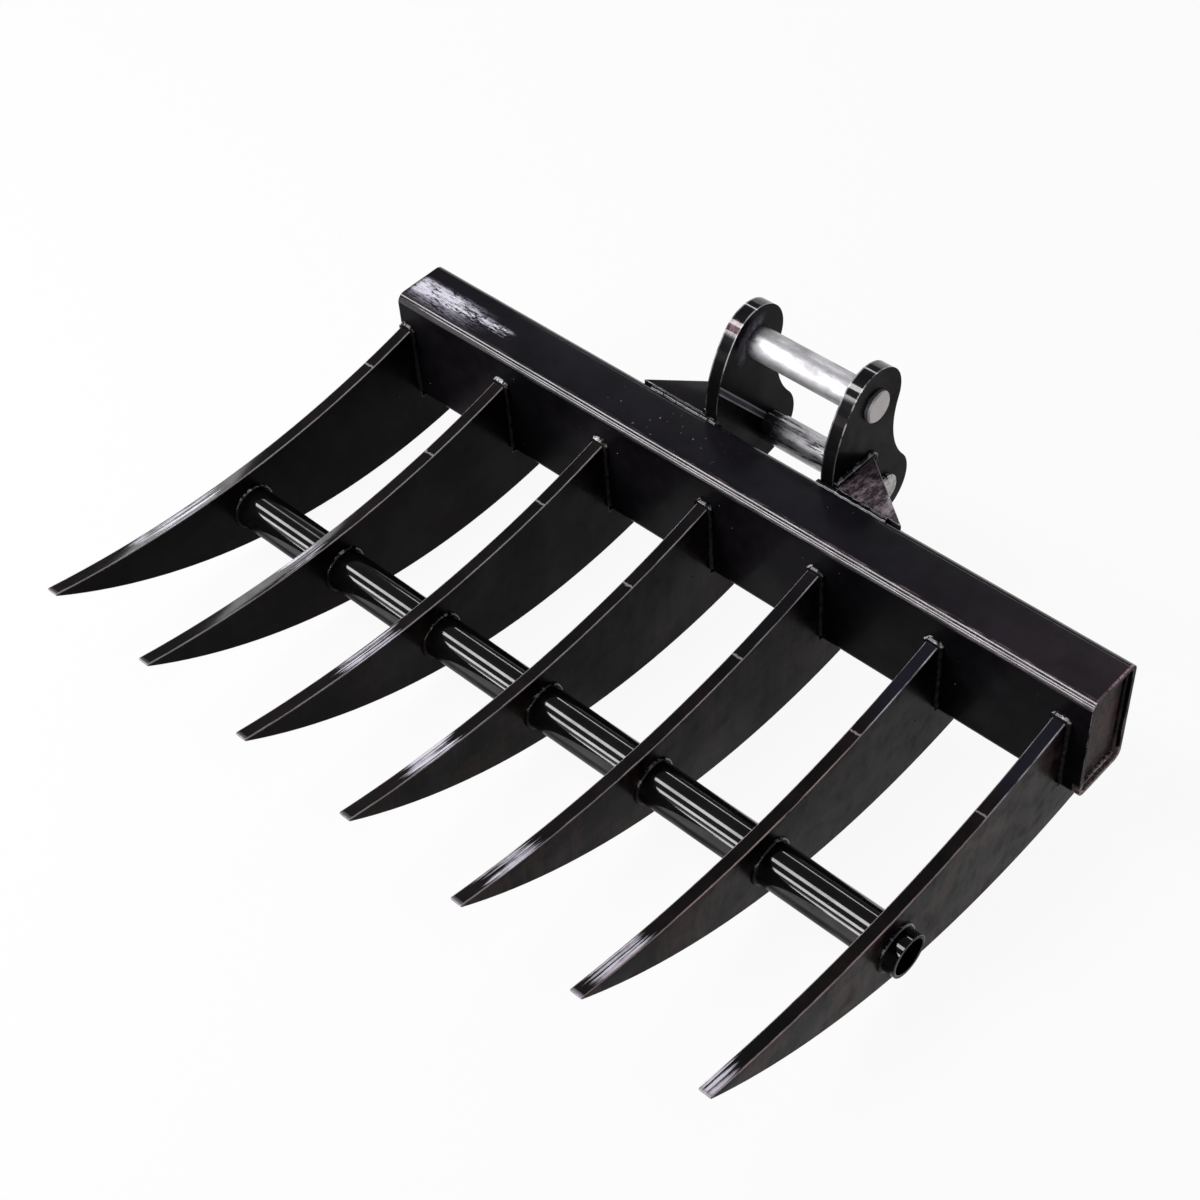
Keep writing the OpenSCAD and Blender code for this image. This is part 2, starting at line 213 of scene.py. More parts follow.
# Faces that look up or back keep their gloss, the others are dull with a few clear clouds
def makeGlossFaces():
    group, given, end = newGroup("glossFaces", {
        "Place": "Vector", "Side Share": "Float", "Gloss From": "Float", "Level Share": "Float"},
        {"Mask": "Float", "Up": "Float"})
    place = given["Place"]
    _, backward, upward = facings(group)
    up = ramp(group, upward, given["Gloss From"], plus(group, given["Gloss From"], 0.25))
    smear = ramp(group, noise(group, place, 30.0, 4.0, 0.65), 0.3, 0.65, 0.72, 1.0)
    cloud = ramp(group, noise(group, place, 9.0, 4.0, 0.6), 0.40, 0.75)
    side = times(group, cloud, ramp(group, axes(group, place)[0], -0.5, 0.5, 0.5, 1.6),
                 given["Side Share"])
    level = mixValue(group, ramp(group, upward, 0.94, 0.985), 1.0, given["Level Share"])
    upper = times(group, largest(group, up, ramp(group, backward, 0.10, 0.40)), smear, level)
    feed(group, end, {"Mask": largest(group, upper, side), "Up": up})
    return group


paintSkin, edgeWear, rubMarks, glossFaces = (
    makePaintSkin(), makeEdgeWear(), makeRubMarks(), makeGlossFaces())
print("shared effects ready")


def newMaterial(name):
    material = bpy.data.materials.new(name)
    material.use_nodes = True
    tree = material.node_tree
    place = addNode(tree, "ShaderNodeTexCoord").outputs["Object"]
    return material, tree, tree.nodes["Principled BSDF"], place


def useGroup(tree, group, values):
    return addNode(tree, "ShaderNodeGroup", values, node_tree=group).outputs


def bump(tree, height):
    return addNode(tree, "ShaderNodeBump", {"Height": height, "Distance": 1.0,
                                            "Strength": 1.0}).outputs["Normal"]


# Gloss black paint in its different states. A look has from the plate what it doesn't name.
plateLook = {"deep": (0.0022, 0.0021, 0.0024), "tint": (0.0110, 0.0085, 0.0095), "gloss": 0.30,
             "dull": 0.45, "peel": 1.2, "nibs": 0.6, "wear": 0.85, "wearPatch": 26.0, "rub": 0.20,
             "stretch": (60, 8, 60), "arris": (0.30, 0.26, 0.28), "side": 0.07, "glossFrom": 0.50,
             "level": 1.0}
paintLooks = {
    "beamPaint": {"deep": (0.0022, 0.0020, 0.0026), "tint": (0.0090, 0.0070, 0.0095), "peel": 1.0,
                  "nibs": 0.8, "wear": 0.62, "rub": 0.22, "stretch": (3, 90, 90),
                  "arris": (0.24, 0.17, 0.19), "side": 0.05, "glossFrom": 0.05, "level": 0.30},
    "tubePaint": {"deep": (0.0020, 0.0020, 0.0022), "tint": (0.0070, 0.0060, 0.0068), "dull": 0.40,
                  "peel": 1.0, "nibs": 0.8, "wear": 0.50, "stretch": (4, 120, 120),
                  "arris": (0.08, 0.07, 0.08), "side": 0.25, "glossFrom": 0.05},
    "platePaint": {},
    "earPaint": {},
    "shadedPaint": {"deep": (0.008, 0.007, 0.009), "tint": (0.034, 0.026, 0.032), "gloss": 0.35,
                    "dull": 0.50, "nibs": 1.5, "wear": 0.60, "rub": 0.30, "stretch": (60, 24, 60),
                    "arris": (0.20, 0.17, 0.19), "glossFrom": 0.30, "level": 0.06},
    "seamPaint": {"deep": (0.003, 0.003, 0.0035), "tint": (0.024, 0.018, 0.021), "peel": 1.5,
                  "nibs": 1.0, "wear": 0.0, "rub": 0.30, "stretch": (80, 80, 80), "side": 0.05},
    "tinePaint": {"deep": (0.0022, 0.0021, 0.0022), "tint": (0.0150, 0.0085, 0.0080), "rub": 0.16,
                  "arris": (0.26, 0.22, 0.23), "glossFrom": 0.30, "warmCoat": 0.62},
    # A lighter, lit copy of the paint for the right gusset: painted light
    "litGussetPaint": {"deep": (0.030, 0.023, 0.028), "tint": (0.22, 0.160, 0.185), "gloss": 0.25,
                    "dull": 0.40, "peel": 1.6, "nibs": 1.2, "wear": 0.60, "rub": 0.45,
                    "stretch": (60, 24, 60), "arris": (0.32, 0.26, 0.29), "side": 0.20,
                    "glossFrom": 0.30},
    # A browner, lighter copy for the right end plate: rust, and painted light for its shade
    "litCapPaint": {"deep": (0.030, 0.020, 0.019), "tint": (0.125, 0.080, 0.075), "gloss": 0.35,
                 "dull": 0.52, "peel": 1.6, "nibs": 1.2, "wear": 0.40, "rub": 0.45,
                 "stretch": (40, 50, 9), "arris": (0.14, 0.11, 0.11), "side": 0.06,
                 "glossFrom": 0.05},
    "weldPaint": {"deep": (0.003, 0.003, 0.0035), "tint": (0.020, 0.015, 0.017), "gloss": 0.25,
                  "dull": 0.40, "peel": 1.5, "nibs": 1.0, "wear": 0.0, "rub": 0.30,
                  "stretch": (80, 80, 80), "side": 0.05, "glossFrom": 0.30},
}
paintSpecular, rubTone = 0.022, (0.040, 0.033, 0.037)
coatShine = {"Coat Roughness": 0.07, "Coat IOR": 1.6}


def makePaint(name, look):
    material, tree, shader, place = newMaterial(name)
    skin = useGroup(tree, paintSkin, {"Place": place, "Deep": look["deep"], "Tint": look["tint"],
                                      "Gloss Roughness": look["gloss"], "Peel": look["peel"],
                                      "Dull Roughness": look["dull"], "Nibs": look["nibs"]})
    wear = useGroup(tree, edgeWear, {"Place": place, "Amount": look["wear"],
                                     "Patch": look["wearPatch"]})["Mask"]
    rub = useGroup(tree, rubMarks, {"Place": place, "Stretch": look["stretch"],
                                    "Amount": look["rub"]})["Mask"]
    shine = useGroup(tree, glossFaces, {"Place": place, "Side Share": look["side"],
                                        "Gloss From": look["glossFrom"],
                                        "Level Share": look["level"]})
    color = mixColor(tree, times(tree, rub, 0.5), skin["Color"], rubTone)
    color = mixColor(tree, wear, color, look["arris"])
    if name in marksAndPaintedLight:
        for mask, tone in marksAndPaintedLight[name](tree, place, shine["Up"]):
            color = mixColor(tree, mask, color, tone)
    coat = shine["Mask"]
    if "warmCoat" in look:
        coat = times(tree, coat, mixValue(tree, pieceValue(tree, "warmth"), 1.0, look["warmCoat"]))
    feed(tree, shader, {"Base Color": color, "Roughness": skin["Roughness"], "Coat Weight": coat,
                        "Specular IOR Level": paintSpecular, "Normal": bump(tree, skin["Height"]),
                        **coatShine})
    return material


# Each of these functions gives masks and their tones, real marks and painted light alike, from the
# lowest layer up, with its places in metres in the part's frame. The middle of the beam's painted
# highlight is measured back from the beam's front.
leftEndSheenMiddle = 0.0345


# Marks and painted light on the beam. The top has a pale mottled painted highlight at its left end,
# with a painted haze round it, is speckled beside the left gusset and is lightened in clouds, more
# and pinker towards its right end, as painted light. The front edge's rounding has pink painted
# glints, the right end's top rim a painted highlight line, and rusty dust lies round the end
# plate's weld, in tones raised as painted light for the shaded recess.
def beamMarksAndPaintedLight(tree, place, up):
    x, y, z = axes(tree, place)
    _, backward, upward = facings(tree)
    flat = ramp(tree, up, 0.6, 0.9)
    depth = less(tree, y, stance["shiftY"] * mm)
    level = weighted(tree, (noise(tree, place, (34, 190, 190), 6.0, 0.75), 0.55),
                     (noise(tree, place, (170, 420, 420), 4.0, 0.75), 0.45))
    # Painted highlight: a pale mottled patch on the top at the left end, with a fainter painted
    # haze
    leftEnd = ramp(tree, x, -0.506, -0.497)
    half = ramp(tree, x, -0.450, -0.385, 0.0125, 0.0065)
    off = maths(tree, "ABSOLUTE", less(tree, depth, leftEndSheenMiddle))
    core = times(tree, ramp(tree, less(tree, half, off), -0.003, 0.003),
                 ramp(tree, x, -0.336, -0.356), leftEnd, flat)
    fuller = plus(tree, level, ramp(tree, x, -0.36, -0.48, 0.0, 0.05))
    leftEndSheen = times(tree, core, ramp(tree, fuller, 0.46, 0.59), 0.92)
    haze = times(tree, ramp(tree, depth, 0.006, 0.018), ramp(tree, depth, 0.054, 0.046),
                 ramp(tree, x, -0.365, -0.445), leftEnd, flat, ramp(tree, level, 0.43, 0.58), 0.75)
    fine = noise(tree, place, (40, 500, 500), 4.0, 0.7)
    # Pink painted glints on the front edge's rounding, more towards the right
    tinge = times(tree, ramp(tree, backward, -0.10, -0.35), ramp(tree, upward, 0.15, 0.40),
                  ramp(tree, fine, 0.46, 0.62), ramp(tree, x, -0.30, 0.45, 0.15, 0.75))
    # Painted light: the top is lightened in clouds, more and pinker towards the right end
    rightwardLight = times(tree, up, ramp(tree, noise(tree, place, 14.0, 4.0, 0.6), 0.30, 0.65, 0.55, 1.0))
    rightwardLightTone = mixColor(tree, ramp(tree, x, 0.20, 0.52), (0.0100, 0.0090, 0.0125),
                         (0.0290, 0.0225, 0.0285))
    # Painted highlight line along the top rim of the right end
    lip = times(tree, flat, ramp(tree, x, 0.5112, 0.5125), ramp(tree, depth, 0.02, 0.05, 0.25, 0.9),
                ramp(tree, level, 0.40, 0.52))
    # Rust and pale dust in the right end's recess, their tones raised as painted light for its
    # shade
    rustAndLight = times(tree, ramp(tree, x, 0.5052, 0.5062), ramp(tree, z, 0.086, 0.080), 0.9)
    dustAndLight = ramp(tree, noise(tree, place, 260.0, 4.0, 0.7), 0.40, 0.62)
    rustAndLightTone = mixColor(tree, dustAndLight, (0.130, 0.085, 0.080), (0.60, 0.48, 0.48))
    specks = times(tree, flat, ramp(tree, noise(tree, place, 230.0, 1.0), 0.745, 0.77),
                   ramp(tree, x, -0.20, -0.15), ramp(tree, x, 0.01, -0.04), 0.8)
    return [(rightwardLight, rightwardLightTone), (specks, (0.30, 0.24, 0.27)), (tinge, (0.20, 0.145, 0.165)),
            (haze, (0.36, 0.34, 0.42)), (leftEndSheen, (0.84, 0.82, 0.92)), (lip, (0.50, 0.30, 0.35)),
            (rustAndLight, rustAndLightTone)]


# Thin pale lines along both arrises of a tine's upper edge, worn arrises that also stand in as
# painted highlights, a mark across it, a stretch of painted sheen in bright streaks, a painted
# blue-grey sheen near the root of the warm tines, a bare point, and soiled sides, mostly the right
# faces, whose soil grows lighter towards the right-hand tines as painted light
def tineWearAndPaintedLight(tree, place, up):
    x, y, _ = axes(tree, place)
    across, _, _ = facings(tree)
    warmth = pieceValue(tree, "warmth")
    flat = ramp(tree, up, 0.5, 0.9)
    off = less(tree, x, pieceValue(tree, "middleX"))
    # Worn arrises that also stand in as painted highlight lines
    broken = ramp(tree, noise(tree, place, (90, 16, 16), 4.0, 0.65), 0.36, 0.60)
    right = times(tree, ramp(tree, off, 0.0060, 0.0068), 0.85)
    left = times(tree, ramp(tree, off, -0.0064, -0.0072), 0.40)
    rims = times(tree, flat, broken, largest(tree, right, left))
    rimTone = mixColor(tree, times(tree, warmth, ramp(tree, y, 0.06, -0.02)),
                       (0.26, 0.255, 0.275), (0.44, 0.30, 0.30))
    rimTone = mixColor(tree, times(tree, warmth, ramp(tree, y, 0.02, 0.10)), rimTone,
                       (0.60, 0.59, 0.63))
    wobble = times(tree, less(tree, noise(tree, place, 220.0, 3.0), 0.5), 0.005)
    mark = times(tree, near(tree, plus(tree, y, wobble), pieceValue(tree, "markY"), 0.0018, 0.0008),
                 flat, 0.8)
    # Painted sheen: bright streaks over a stretch of the upper edge
    window = times(tree, ramp(tree, less(tree, y, pieceValue(tree, "sheenFrom")), -0.045, 0.030),
                   ramp(tree, less(tree, pieceValue(tree, "sheenTo"), y), -0.045, 0.035))
    level = weighted(tree, (noise(tree, place, (560, 7, 10), 4.0, 0.6), 0.8),
                     (noise(tree, place, (60, 34, 60), 4.0, 0.65), 0.2),
                     (pieceValue(tree, "sheenShare"), 0.26))
    level = less(tree, level, ramp(tree, window, 0.0, 1.0, 0.26, 0.0))
    bareAndSheen = times(tree, flat, ramp(tree, window, 0.0, 0.1), ramp(tree, level, 0.55, 0.74))
    point = times(tree, ramp(tree, y, -0.3880, -0.3915), mixValue(tree, warmth, 0.2, 0.7))
    # Soil on the sides, mostly the right faces, lighter towards the right-hand tines as painted
    # light
    runs = weighted(tree, (noise(tree, place, (4, 9, 22), 4.0, 0.6), 0.6),
                    (noise(tree, place, (10, 60, 12), 4.0, 0.65), 0.4))
    sides = plus(tree, ramp(tree, across, 0.7, 0.9), ramp(tree, across, -0.7, -0.9, 0.0, 0.15))
    soilAndPaintedLight = times(tree, sides, ramp(tree, runs, 0.46, 0.60), ramp(tree, x, -0.35, 0.5, 0.04, 0.80))
    # Painted blue-grey sheen on the upper edge near the root of the warm tines
    root = times(tree, flat, ramp(tree, y, 0.045, 0.10), ramp(tree, warmth, 0.2, 1.0), 0.8)
    return [(soilAndPaintedLight, (0.064, 0.039, 0.036)), (root, (0.014, 0.014, 0.024)), (rims, rimTone),
            (mark, (0.30, 0.27, 0.27)), (bareAndSheen, (0.86, 0.83, 0.94)), (point, (0.42, 0.40, 0.46))]


# Thin pale borders along the upper lobe of an ear, worn arrises that also stand in as painted
# highlight lines. On the left ear also a pink painted highlight, and on its inner face painted
# reflections: a halo round the upper pin where its end is mirrored and two streaks where the lower
# pin is mirrored, at their heights square to the slope of the streaks.
earPaintedLightMarks = {"patch": (0.2877, 0.3293), "slope": (0.7447, 0.6675), "streaks": (0.3612, 0.3681),
            "streakFade": 0.0012, "haloSide": (-0.787, 0.617)}


def awayFrom(tree, y, z, centre):
    flat = addNode(tree, "ShaderNodeCombineXYZ", {"Y": y, "Z": z}).outputs["Vector"]
    return addNode(tree, "ShaderNodeVectorMath", {0: flat, 1: (0.0, *centre)},
                   operation="DISTANCE").outputs["Value"]


def earWearAndPaintedLight(tree, place, up):
    x, y, z = axes(tree, place)
    across, _, _ = facings(tree)
    pin = spot(0, *hitch["upperPin"])
    rim = ramp(tree, maths(tree, "ABSOLUTE", across), 0.92, 0.80)
    # Worn borders that also stand in as painted highlight lines
    border = times(tree, rim, near(tree, x, pieceValue(tree, "middleX"), 0.0070, 0.0079),
                   ramp(tree, noise(tree, place, 60.0, 4.0, 0.65), 0.34, 0.58),
                   ramp(tree, z, 0.265, 0.305, 0.12, 0.9))
    # Pink painted highlight on the left ear's edge
    mottle = ramp(tree, noise(tree, place, (150, 70, 70), 4.0, 0.7), 0.40, 0.60)
    patch = times(tree, rim, ramp(tree, awayFrom(tree, y, z, earPaintedLightMarks["patch"]), 0.012, 0.006),
                  ramp(tree, x, 0.02, 0.0), mottle, 0.8)
    # Painted reflections on the left ear's inner face: two streaks of the mirrored lower pin and a
    # halo of the mirrored upper pin's end
    inner = times(tree, ramp(tree, across, 0.7, 0.9), ramp(tree, x, 0.0, -0.02))
    height = weighted(tree, *zip((y, z), earPaintedLightMarks["slope"]))
    (low, high), fade = earPaintedLightMarks["streaks"], earPaintedLightMarks["streakFade"]
    between = times(tree, ramp(tree, height, low - fade, low),
                    ramp(tree, height, high + fade, high), 0.22)
    lengthwise = addNode(tree, "ShaderNodeCombineXYZ", {
        "X": times(tree, height, 900.0), "Y": times(tree, y, 22.0)}).outputs["Vector"]
    grain = noise(tree, lengthwise, 1.0, 3.0, 0.6)
    streaks = times(tree, inner, largest(tree, near(tree, height, high, 0.0014, 0.0005),
                                         near(tree, height, low, 0.0014, 0.0005), between),
                    ramp(tree, y, 0.2495, 0.2560), ramp(tree, y, 0.345, 0.334),
                    ramp(tree, grain, 0.32, 0.60, 0.35, 1.0))
    toward = weighted(tree, *zip((less(tree, y, pin.y), less(tree, z, pin.z)),
                                 earPaintedLightMarks["haloSide"]))
    halo = times(tree, inner, ramp(tree, awayFrom(tree, y, z, (pin.y, pin.z)), 0.040, 0.022),
                 ramp(tree, toward, 0.004, 0.016),
                 ramp(tree, noise(tree, place, 90.0, 4.0, 0.65), 0.38, 0.60, 0.3, 1.0))
    return [(border, (0.42, 0.39, 0.44)), (patch, (0.32, 0.20, 0.23)),
            (streaks, (0.85, 0.83, 0.92)), (halo, (0.36, 0.34, 0.40))]


# Painted glints: pale streaks across a gusset's upper faces, side by side along the ear, with
# darker ones between
def gussetPaintedGlints(tree, place, up):
    level = weighted(tree, (noise(tree, place, (210, 40, 60), 5.0, 0.7), 0.45),
                     (noise(tree, place, (70, 70, 60), 5.0, 0.75), 0.55))
    return [(times(tree, up, ramp(tree, level, 0.45, 0.60), 0.9), (0.32, 0.255, 0.287)),
            (times(tree, up, ramp(tree, level, 0.47, 0.38), 0.6), (0.014, 0.011, 0.013))]


# Rusty blotches on the end plates, and pale grit, mostly near the bottom, that also stands in as
# painted glints
def capRustAndPaintedGlints(tree, place, up):
    blotch = ramp(tree, noise(tree, place, (60, 55, 30), 5.0, 0.7), 0.44, 0.60)
    # Grit that also stands in as painted glints
    gritAndGlints = ramp(tree, noise(tree, place, 330.0, 3.0, 0.7), 0.60, 0.68)
    low = ramp(tree, axes(tree, place)[2], 0.15, 0.07, 0.25, 0.9)
    return [(times(tree, blotch, 0.6), (0.120, 0.070, 0.066)),
            (times(tree, gritAndGlints, low), (0.30, 0.25, 0.25))]


# A few painted glints on the seams of the gussets
def seamPaintedGlints(tree, place, up):
    crest = ramp(tree, noise(tree, place, 120.0, 3.0, 0.6), 0.58, 0.66)
    return [(times(tree, crest, ramp(tree, up, 0.6, 1.0),
                   ramp(tree, axes(tree, place)[0], -0.05, 0.05, 0.35, 0.7)), (0.40, 0.36, 0.38))]


# Painted glints on the crests of the beads, and on those of the right end plate rust, with bright
# grit that also stands in as painted glints
def weldPaintedGlintsAndRust(tree, place, up):
    x, _, z = axes(tree, place)
    # Painted glints on the crests of the beads
    crest = ramp(tree, noise(tree, place, 110.0, 3.0, 0.6), 0.52, 0.60)
    shaded = ramp(tree, x, 0.494, 0.500)
    gritAndGlints = ramp(tree, noise(tree, place, 260.0, 3.0, 0.7), 0.50, 0.60)
    return [(times(tree, shaded, ramp(tree, z, 0.11, 0.09), 0.9), (0.130, 0.085, 0.080)),
            (times(tree, crest, ramp(tree, up, 0.6, 1.0), 0.85), (0.56, 0.53, 0.54)),
            (times(tree, shaded, gritAndGlints, ramp(tree, up, 0.5, 0.9)), (0.90, 0.82, 0.82))]


marksAndPaintedLight = {"beamPaint": beamMarksAndPaintedLight, "tinePaint": tineWearAndPaintedLight, "weldPaint": weldPaintedGlintsAndRust,
          "earPaint": earWearAndPaintedLight, "litGussetPaint": gussetPaintedGlints, "litCapPaint": capRustAndPaintedGlints,
          "seamPaint": seamPaintedGlints}


# Bare steel with overspray at the left end. The dirty lower pin has paint runs and two painted
# highlight lines along it, which lie where its surface looks in these directions.
pinLines = {"turns": (0.37, -0.10), "outer": 0.055, "inner": 0.030}


def makePinSteel():
    material, tree, shader, place = newMaterial("pinSteel")
    x, _, _ = axes(tree, place)
    across, backward, upward = facings(tree)
    dirty = pieceValue(tree, "dirt")
    streak = noise(tree, place, (22, 260, 260), 5.0, 0.7)
    stain = noise(tree, place, (26, 60, 60), 5.0, 0.7)
    drift = noise(tree, place, (60, 90, 90), 5.0, 0.75)
    reach = plus(tree, pieceValue(tree, "paintTo"), times(tree, less(tree, drift, 0.5), 0.045))
    overspray = ramp(tree, less(tree, reach, x), -0.012, 0.008)
    dirt = times(tree, ramp(tree, plus(tree, streak, times(tree, stain, 0.35)), 0.66, 0.78), dirty)
    paint = largest(tree, overspray, dirt)
    bright = mixColor(tree, ramp(tree, stain, 0.35, 0.72), (0.70, 0.69, 0.71), (0.38, 0.37, 0.39))
    # Darker streaks along the side that faces back
    backStreaks = times(tree, ramp(tree, backward, 0.45, 0.80), ramp(tree, streak, 0.44, 0.58), 0.6)
    bright = mixColor(tree, backStreaks, bright, (0.12, 0.11, 0.13))
    bright = mixColor(tree, ramp(tree, across, 0.6, 0.9), bright, (0.50, 0.48, 0.47))
    # On the clean pin the overspray is lightened, painted light where the ear shades it
    spray = mixColor(tree, dirty, mixColor(tree, stain, (0.05, 0.045, 0.055), (0.22, 0.21, 0.24)),
                     mixColor(tree, dirt, (0.050, 0.045, 0.062), (0.012, 0.011, 0.015)))
    color = mixColor(tree, paint, bright, spray)
    # Painted highlights: two bright lines along the painted part of the dirty pin
    lines = times(tree, largest(tree, *[near(tree, backward, turn, pinLines["outer"],
                                             pinLines["inner"]) for turn in pinLines["turns"]]),
                  ramp(tree, upward, 0.0, 0.2), paint, dirty, ramp(tree, drift, 0.30, 0.50))
    color = mixColor(tree, lines, color, (0.85, 0.83, 0.92))
    rough = ramp(tree, plus(tree, stain, times(tree, streak, 0.4)), 0.4, 0.95, 0.40, 0.55)
    height = weighted(tree, (streak, 0.04 * mm),
                      (times(tree, paint, noise(tree, place, 330.0, 1.0)), 0.1 * mm))
    feed(tree, shader, {"Base Color": color, "Roughness": mixValue(tree, paint, rough, 0.25),
                        "Metallic": times(tree, less(tree, 1.0, paint), 0.75),
                        "Coat Weight": paint, "Normal": bump(tree, height), **coatShine})
    return material


def makeZinc():
    material, tree, shader, place = newMaterial("zincPlate")
    blotch = noise(tree, place, 160.0, 4.0, 0.65)
    wear = useGroup(tree, edgeWear, {"Place": place, "Amount": 0.7, "Patch": 90.0})["Mask"]
    color = mixColor(tree, ramp(tree, blotch, 0.35, 0.7), (0.60, 0.61, 0.62), (0.40, 0.40, 0.38))
    feed(tree, shader, {"Base Color": mixColor(tree, wear, color, (0.75, 0.74, 0.72)),
                        "Roughness": ramp(tree, blotch, 0.3, 0.7, 0.28, 0.48), "Metallic": 1.0,
                        "Normal": bump(tree, times(tree, blotch, 0.05 * mm))})
    return material


looks = {name: makePaint(name, {**plateLook, **look}) for name, look in paintLooks.items()}
looks["pinSteel"] = makePinSteel()
looks["zincPlate"] = makeZinc()
print("materials ready:", len(looks))


def link(thing):
    bpy.context.scene.collection.objects.link(thing)
    return thing


def fromShape(name, shape, material):
    mesh = bpy.data.meshes.new(name)
    shape.to_mesh(mesh)
    shape.free()
    mesh.materials.append(material)
    return link(bpy.data.objects.new(name, mesh))


dressing = {"mergeDistance": 0.004, "flatDeg": 0.4, "sharpDeg": 35, "segments": 2,
            "normalWeight": 100}


# A dressed copy of a CAD node: clean faces, rounded edges and a mask of those edges
def dressNode(node, name, body, look, rounding, extra=None):
    shape = bmesh.new()
    shape.from_mesh(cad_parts[node].data)
    bmesh.ops.remove_doubles(shape, verts=shape.verts, dist=dressing["mergeDistance"] * mm)
    bmesh.ops.dissolve_limit(shape, angle_limit=math.radians(dressing["flatDeg"]),
                             verts=shape.verts, edges=shape.edges)
    sharpTurn = math.radians(dressing["sharpDeg"])
    sharp = [e for e in shape.edges
             if len(e.link_faces) == 2 and e.calc_face_angle(0) > sharpTurn]
    edgeMask = shape.faces.layers.float.new("edge")
    rounded = bmesh.ops.bevel(shape, geom=sharp, offset=rounding * mm, profile=0.5, affect="EDGES",
                              segments=dressing["segments"], clamp_overlap=True)
    for face in rounded["faces"]:
        face[edgeMask] = 1.0
    for key, value in (extra or {}).items():
        layer = shape.faces.layers.float.new(key)
        for face in shape.faces:
            face[layer] = value
    for face in shape.faces:
        face.smooth = True
    bmesh.ops.triangulate(shape, faces=[f for f in shape.faces if len(f.verts) > 4])
    piece = fromShape(name, shape, looks[look])
    even = piece.modifiers.new("evenNormals", "WEIGHTED_NORMAL")
    even.keep_sharp = True
    even.weight = dressing["normalWeight"]
    settle(piece, name, body, [node])


# Turns what the modifiers make into a plain mesh, and hands the piece to the frame
def settle(piece, name, body, nodes):
    bpy.context.view_layer.update()
    graph = bpy.context.evaluated_depsgraph_get()
    final = bpy.data.meshes.new_from_object(piece.evaluated_get(graph))
    final.name = name
    piece.modifiers.clear()
    piece.data = final
    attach(piece, body)
    if nodes:
        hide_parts(*nodes)


# The number after a look is the rounding of the piece's edges in millimetres
# The right end plate and the right gusset get lighter, lit copies of the paint and the left gusset
# a shaded one: painted light
sideLooks = {"left": (-1, "platePaint", "shadedPaint"), "right": (1, "litCapPaint", "litGussetPaint")}
dressNode("beam_tube", "beam_section", "rake", "beamPaint", 0.8)
for side, (sign, capLook, gussetLook) in sideLooks.items():
    middle = hitch["middleX"] + sign * (hitch["innerX"] + hitch["outerX"]) / 2 + stance["shiftX"]
    dressNode("end_cap_" + side, "end_plate_" + side, "rake", capLook, 0.6)
    dressNode("ear_" + side, "hitch_ear_" + side, "rake", "earPaint", 1.3,
              {"middleX": middle * mm})
    dressNode("gusset_" + side, "corner_gusset_" + side, "rake", gussetLook, 1.0)

# Where each tine has its mark and its painted sheen of bright streaks, how much of the stretch they
# take and how warm the paint is, which also sets the tone of the painted highlights and sheen
tineMarksAndSheen = {
    1: {"markY": 0.102, "sheenFrom": -0.285, "sheenTo": -0.150, "sheenShare": 0.35, "warmth": 0.0},
    2: {"markY": 0.046, "sheenFrom": -0.190, "sheenTo": -0.130, "sheenShare": 0.35, "warmth": 0.0},
    3: {"markY": 0.068, "sheenFrom": -0.248, "sheenTo": -0.165, "sheenShare": 0.60, "warmth": 0.1},
    4: {"markY": 0.040, "sheenFrom": -0.298, "sheenTo": -0.240, "sheenShare": 0.60, "warmth": 0.2},
    5: {"markY": 0.038, "sheenFrom": -0.352, "sheenTo": -0.285, "sheenShare": 0.60, "warmth": 0.4},
    6: {"markY": 0.037, "sheenFrom": -0.372, "sheenTo": -0.290, "sheenShare": 0.50, "warmth": 1.0},
    7: {"markY": 0.036, "sheenFrom": -0.400, "sheenTo": -0.350, "sheenShare": 0.70, "warmth": 1.0}}
for number, values in tineMarksAndSheen.items():
    middle = (tineX(number) + stance["shiftX"]) * mm
    dressNode(f"tine_{number}", f"tine_plate_{number}", "rake", "tinePaint", 1.1,
              {**values, "middleX": middle})
dressNode("cross_tube", "round_tube", "rake", "tubePaint", 0.7)
pinWear = {"upper": {"paintTo": -0.050, "dirt": 0.0}, "lower": {"paintTo": -0.030, "dirt": 1.0}}
for which, values in pinWear.items():
    body = which + "_pin_set"
    dressNode(which + "_pin", which + "_hitch_pin", body, "pinSteel", 0.35,
              values)
    dressNode(which + "_pin_flag", which + "_keeper_flag", body, "platePaint", 0.9)
    dressNode(which + "_pin_washer", which + "_keeper_washer", body, "zincPlate",
              0.25)
print("plates, tubes and pins dressed")


# Hex bolt whose corners are turned off at the top, as on a bought bolt
boltSizes = {"shankRadius": 5.0, "headRadius": 9.8, "headHeight": 6.4, "chamferRadius": 8.3,
             "topRounding": 1.0, "chamferSlope": 0.55, "chamferStep": 0.15, "tip": 0.6, "turn": 96}


